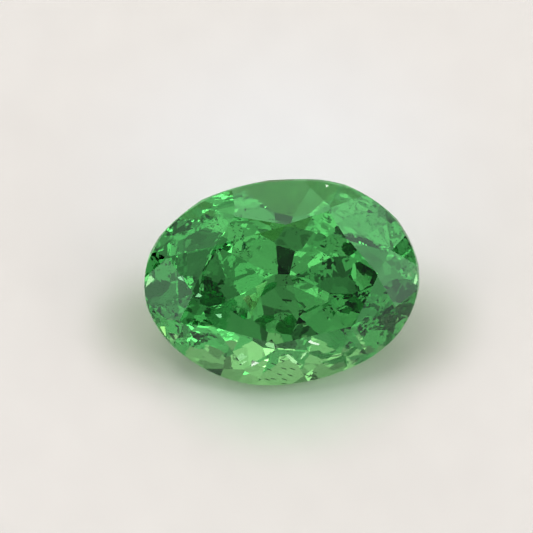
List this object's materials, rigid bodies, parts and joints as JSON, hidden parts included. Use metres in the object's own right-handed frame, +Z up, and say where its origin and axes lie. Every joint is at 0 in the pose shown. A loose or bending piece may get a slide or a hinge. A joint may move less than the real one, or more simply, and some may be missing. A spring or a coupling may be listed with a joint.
{
  "type": "oval cut tsavorite garnet",
  "caption": "Loose oval brilliant-cut green garnet, transparent, lying on a pavilion facet with its table tilted to the front.",
  "frame": {"origin": "middle of the stone's footprint box, on the surface that it lies on", "axes": "+X along the stone's long axis; +Z up; -Y is the side that the table is tilted towards"},
  "size_m": [0.0072, 0.0044, 0.0039],
  "materials": {
    "tsavorite": "polished transparent green crystal, index of refraction 1.74, with fine inclusions"
  },
  "bodies": {
    "root": {"tsavorite_stone": "tsavorite"}
  },
  "joints": []
}
